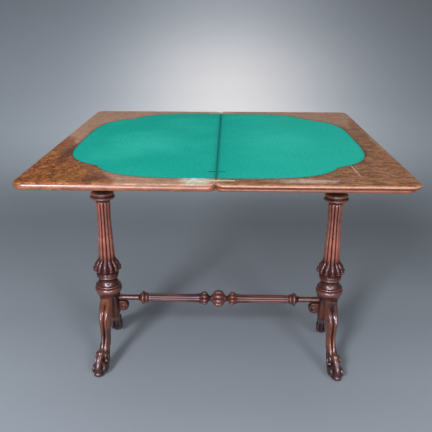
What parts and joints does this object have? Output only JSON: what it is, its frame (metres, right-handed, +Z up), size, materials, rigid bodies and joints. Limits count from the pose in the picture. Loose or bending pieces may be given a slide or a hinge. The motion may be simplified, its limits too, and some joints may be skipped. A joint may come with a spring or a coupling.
{
  "type": "games table",
  "caption": "Fold-over card table: a swivelling top of hinged, baize-lined leaves on turned, reeded end columns with splayed scroll legs and a turned stretcher.",
  "frame": {"origin": "on the floor under the middle of the opened top, which is also the middle of the base", "axes": "+Z up; +X to the right along the stretcher, towards the leaf with the stepped edge; +Y away from the viewer, along the hinge line"},
  "size_m": [0.904, 0.914, 0.72],
  "materials": {
    "burr_walnut": "figured veneer under a worn french polish",
    "dark_walnut": "dark red-brown french polish",
    "pine": "bare planed softwood",
    "baize": "felted wool cloth, slightly faded",
    "brass": "worn, unlacquered",
    "iron": "black, slightly rusted"
  },
  "bodies": {
    "base": {"pivot_bush_plate": "iron", "bush_plate_screws": "iron", "stop_pin": "dark_walnut", "frame_front_rail": "dark_walnut", "frame_rear_rail": "dark_walnut", "frame_end_rail_left": "dark_walnut", "frame_end_rail_right": "dark_walnut", "pivot_rail": "pine", "well_bottom_board": "pine", "corner_blocks": "pine", "bearer_left": "dark_walnut", "bearer_right": "dark_walnut", "bearer_screws": "iron", "column_capital_left": "dark_walnut", "column_capital_right": "dark_walnut", "column_shaft_left": "dark_walnut", "column_shaft_right": "dark_walnut", "column_collar_left": "dark_walnut", "column_collar_right": "dark_walnut", "base_block_left": "dark_walnut", "base_block_right": "dark_walnut", "leg_front_left": "dark_walnut", "leg_rear_left": "dark_walnut", "leg_front_right": "dark_walnut", "leg_rear_right": "dark_walnut", "leg_dowels": "pine", "scroll_bracket_left": "dark_walnut", "scroll_bracket_right": "dark_walnut", "stretcher_arm_left": "dark_walnut", "stretcher_arm_right": "dark_walnut", "stretcher_ball": "dark_walnut"},
    "leaf": {"leaf_board": "burr_walnut", "leaf_under_board": "dark_walnut", "leaf_baize": "baize", "hinge_plate_leaf_front": "brass", "hinge_plate_leaf_rear": "brass", "leaf_hinge_screws": "brass", "pivot_plate": "iron", "pivot_plate_screws": "iron", "pivot_stud": "iron", "pivot_washer": "iron", "pivot_nut": "iron"},
    "hinge_links": {"hinge_link_front": "brass", "hinge_link_rear": "brass", "hinge_pins": "brass"},
    "flap": {"flap_board": "burr_walnut", "flap_baize": "baize", "hinge_plate_flap_front": "brass", "hinge_plate_flap_rear": "brass", "flap_hinge_screws": "brass"}
  },
  "joints": [
    {"name": "top_swivel", "type": "hinge", "parent": "base", "child": "leaf", "pos_m": [0.113, 0.113, 0.701], "axis": [0, 0, 1], "range_deg": [-90, 0]},
    {"name": "link_fold", "type": "hinge", "parent": "leaf", "child": "hinge_links", "pos_m": [0.003, 0, 0.71715], "axis": [0, 1, 0], "range_deg": [0, 90]},
    {"name": "flap_fold", "type": "hinge", "parent": "hinge_links", "child": "flap", "pos_m": [-0.003, 0, 0.71715], "axis": [0, 1, 0], "range_deg": [0, 90]}
  ]
}
